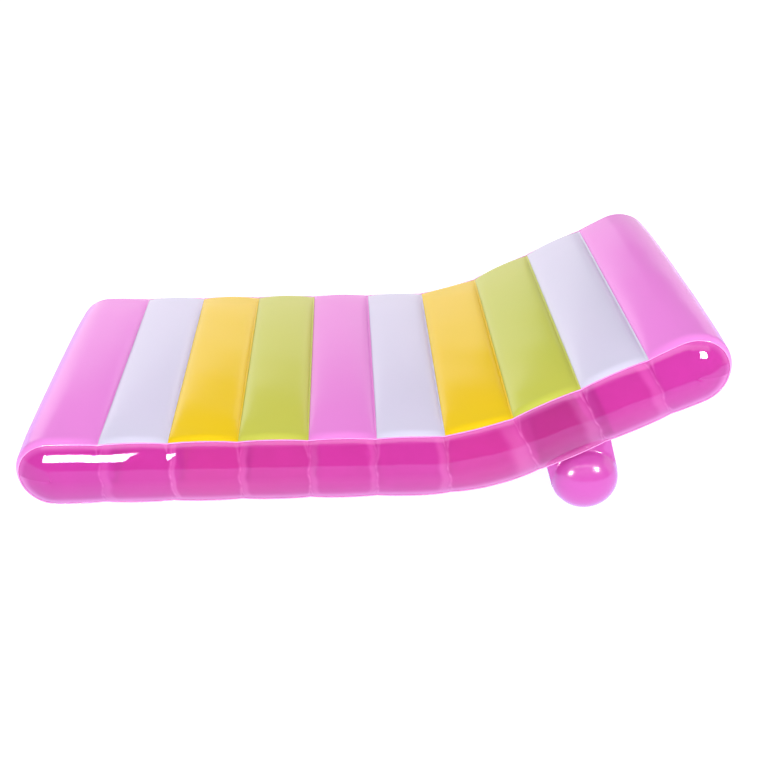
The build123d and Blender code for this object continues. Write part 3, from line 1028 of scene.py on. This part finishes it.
def floor(name, low, high, z, rays, colour=(1, 1, 1, 1), strength=0.92):
    """A level floor sheet between two corners, seen by the named kinds of rays."""
    verts = [(low[0], low[1], z), (high[0], low[1], z), (high[0], high[1], z), (low[0], high[1], z)]
    sheet = new_object(name, verts, [(0, 1, 2, 3)], smooth=False)
    nodes = Nodes(name)
    lit = nodes.add("ShaderNodeBsdfDiffuse", Color=(0.3, 0.3, 0.3, 1))
    glow = nodes.add("ShaderNodeEmission", Color=colour, Strength=strength)
    both = nodes.add("ShaderNodeAddShader")
    nodes.set_all(both.inputs, (lit.outputs[0], glow.outputs[0]))
    sheet.data.materials.append(nodes.done(both))
    for kind in ("camera", "diffuse", "glossy", "transmission", "shadow"):
        setattr(sheet, f"visible_{kind}", kind in rays)
    return sheet


COOL_SHEEN = (0.8, 1.0, 1.75, 1)
floor("Floor", (-30, -30), (30, 30), -0.0005, ("camera", "diffuse", "shadow"))
floor("Floor_sheen", (-3.2, -1.2), (3.2, 3.2), -0.001, ("glossy",), COOL_SHEEN, 1.0)

# The two bright softboxes light only the pieces that are glossy in themselves
glossy_pieces = bpy.data.collections.new("Glossy pieces")
for piece in bpy.data.objects:
    made_here = piece.name.endswith(("_film", "_bead"))
    if made_here and piece.name.startswith(("side_panel", "bolster_", "seam_weld")):
        glossy_pieces.objects.link(piece)


def softbox(name, place, target, size, radiance, glossy=True, diffuse=True, lit=None):
    """An even rectangular light that the camera doesn't see, for all pieces or some of them."""
    data = bpy.data.lights.new(name, "AREA")
    data.shape = "RECTANGLE"
    data.size, data.size_y = size
    data.energy = radiance * math.pi * size[0] * size[1]
    light = bpy.data.objects.new(name, data)
    bpy.context.scene.collection.objects.link(light)
    light.location = place
    look_at(light, target)
    light.visible_camera = False
    light.visible_glossy = glossy
    light.visible_diffuse = diffuse
    light.light_linking.receiver_collection = lit


softbox("Backdrop_glow", (-1.4, 2.5, 0.82), (-1.4, 0, 0.82), (4.0, 1.64), 2.0)
softbox("Backdrop_right", (1.8, 2.5, 0.82), (1.8, 0, 0.82), (2.4, 1.64), 1.2, diffuse=False)
softbox("Key", (-2.2, -1.2, 3.4), (0, 0, 0), (1.6, 1.6), 3.7, glossy=False)
softbox(
    "Softbox_left", (-1.315, -2.0, 0.69), (-1.315, 0, 0.69), (0.795, 0.5), 60,
    diffuse=False, lit=glossy_pieces,
)
softbox(
    "Softbox_right", (1.65, -2.0, 1.15), (1.65, 0, 1.15), (0.5, 0.5), 60,
    diffuse=False, lit=glossy_pieces,
)
softbox("Strip_high", (0, -2.1, 1.85), (0, 0, 1.85), (5.0, 0.6), 2.4, diffuse=False)
softbox("Side_right", (3.2, 0, 1.1), (0, 0, 1.1), (2.4, 2.0), 1.0)
softbox("Fill_right", (2.8, -1.6, 1.8), (0.4, 0, 0.2), (1.6, 1.6), 2.2, glossy=False)
softbox("Fill_left", (-3.2, -0.4, 0.9), (0, -0.4, 0.9), (2.4, 1.6), 0.8, glossy=False)
softbox("Fill_front", (0.0, -3.4, 1.6), (0.2, 0, 0.1), (3.4, 1.8), 4.35, glossy=False)

# A white background, dimmer as the pieces' own surroundings
world = bpy.data.worlds.new("World")
bpy.context.scene.world = world
world.use_nodes = True
tree = world.node_tree
tree.nodes.clear()
path = tree.nodes.new("ShaderNodeLightPath")
output = tree.nodes.new("ShaderNodeOutputWorld")
shades = {}
for name, level in {"camera": 1.0, "glossy": 0.14, "soft": 0.6}.items():
    shades[name] = tree.nodes.new("ShaderNodeBackground")
    shades[name].inputs["Color"].default_value = (level, level, level, 1)
dim = tree.nodes.new("ShaderNodeMixShader")
tree.links.new(path.outputs["Is Glossy Ray"], dim.inputs[0])
tree.links.new(shades["soft"].outputs[0], dim.inputs[1])
tree.links.new(shades["glossy"].outputs[0], dim.inputs[2])
seen = tree.nodes.new("ShaderNodeMixShader")
tree.links.new(path.outputs["Is Camera Ray"], seen.inputs[0])
tree.links.new(dim.outputs[0], seen.inputs[1])
tree.links.new(shades["camera"].outputs[0], seen.inputs[2])
tree.links.new(seen.outputs[0], output.inputs["Surface"])

bpy.context.scene.view_settings.view_transform = "Standard"
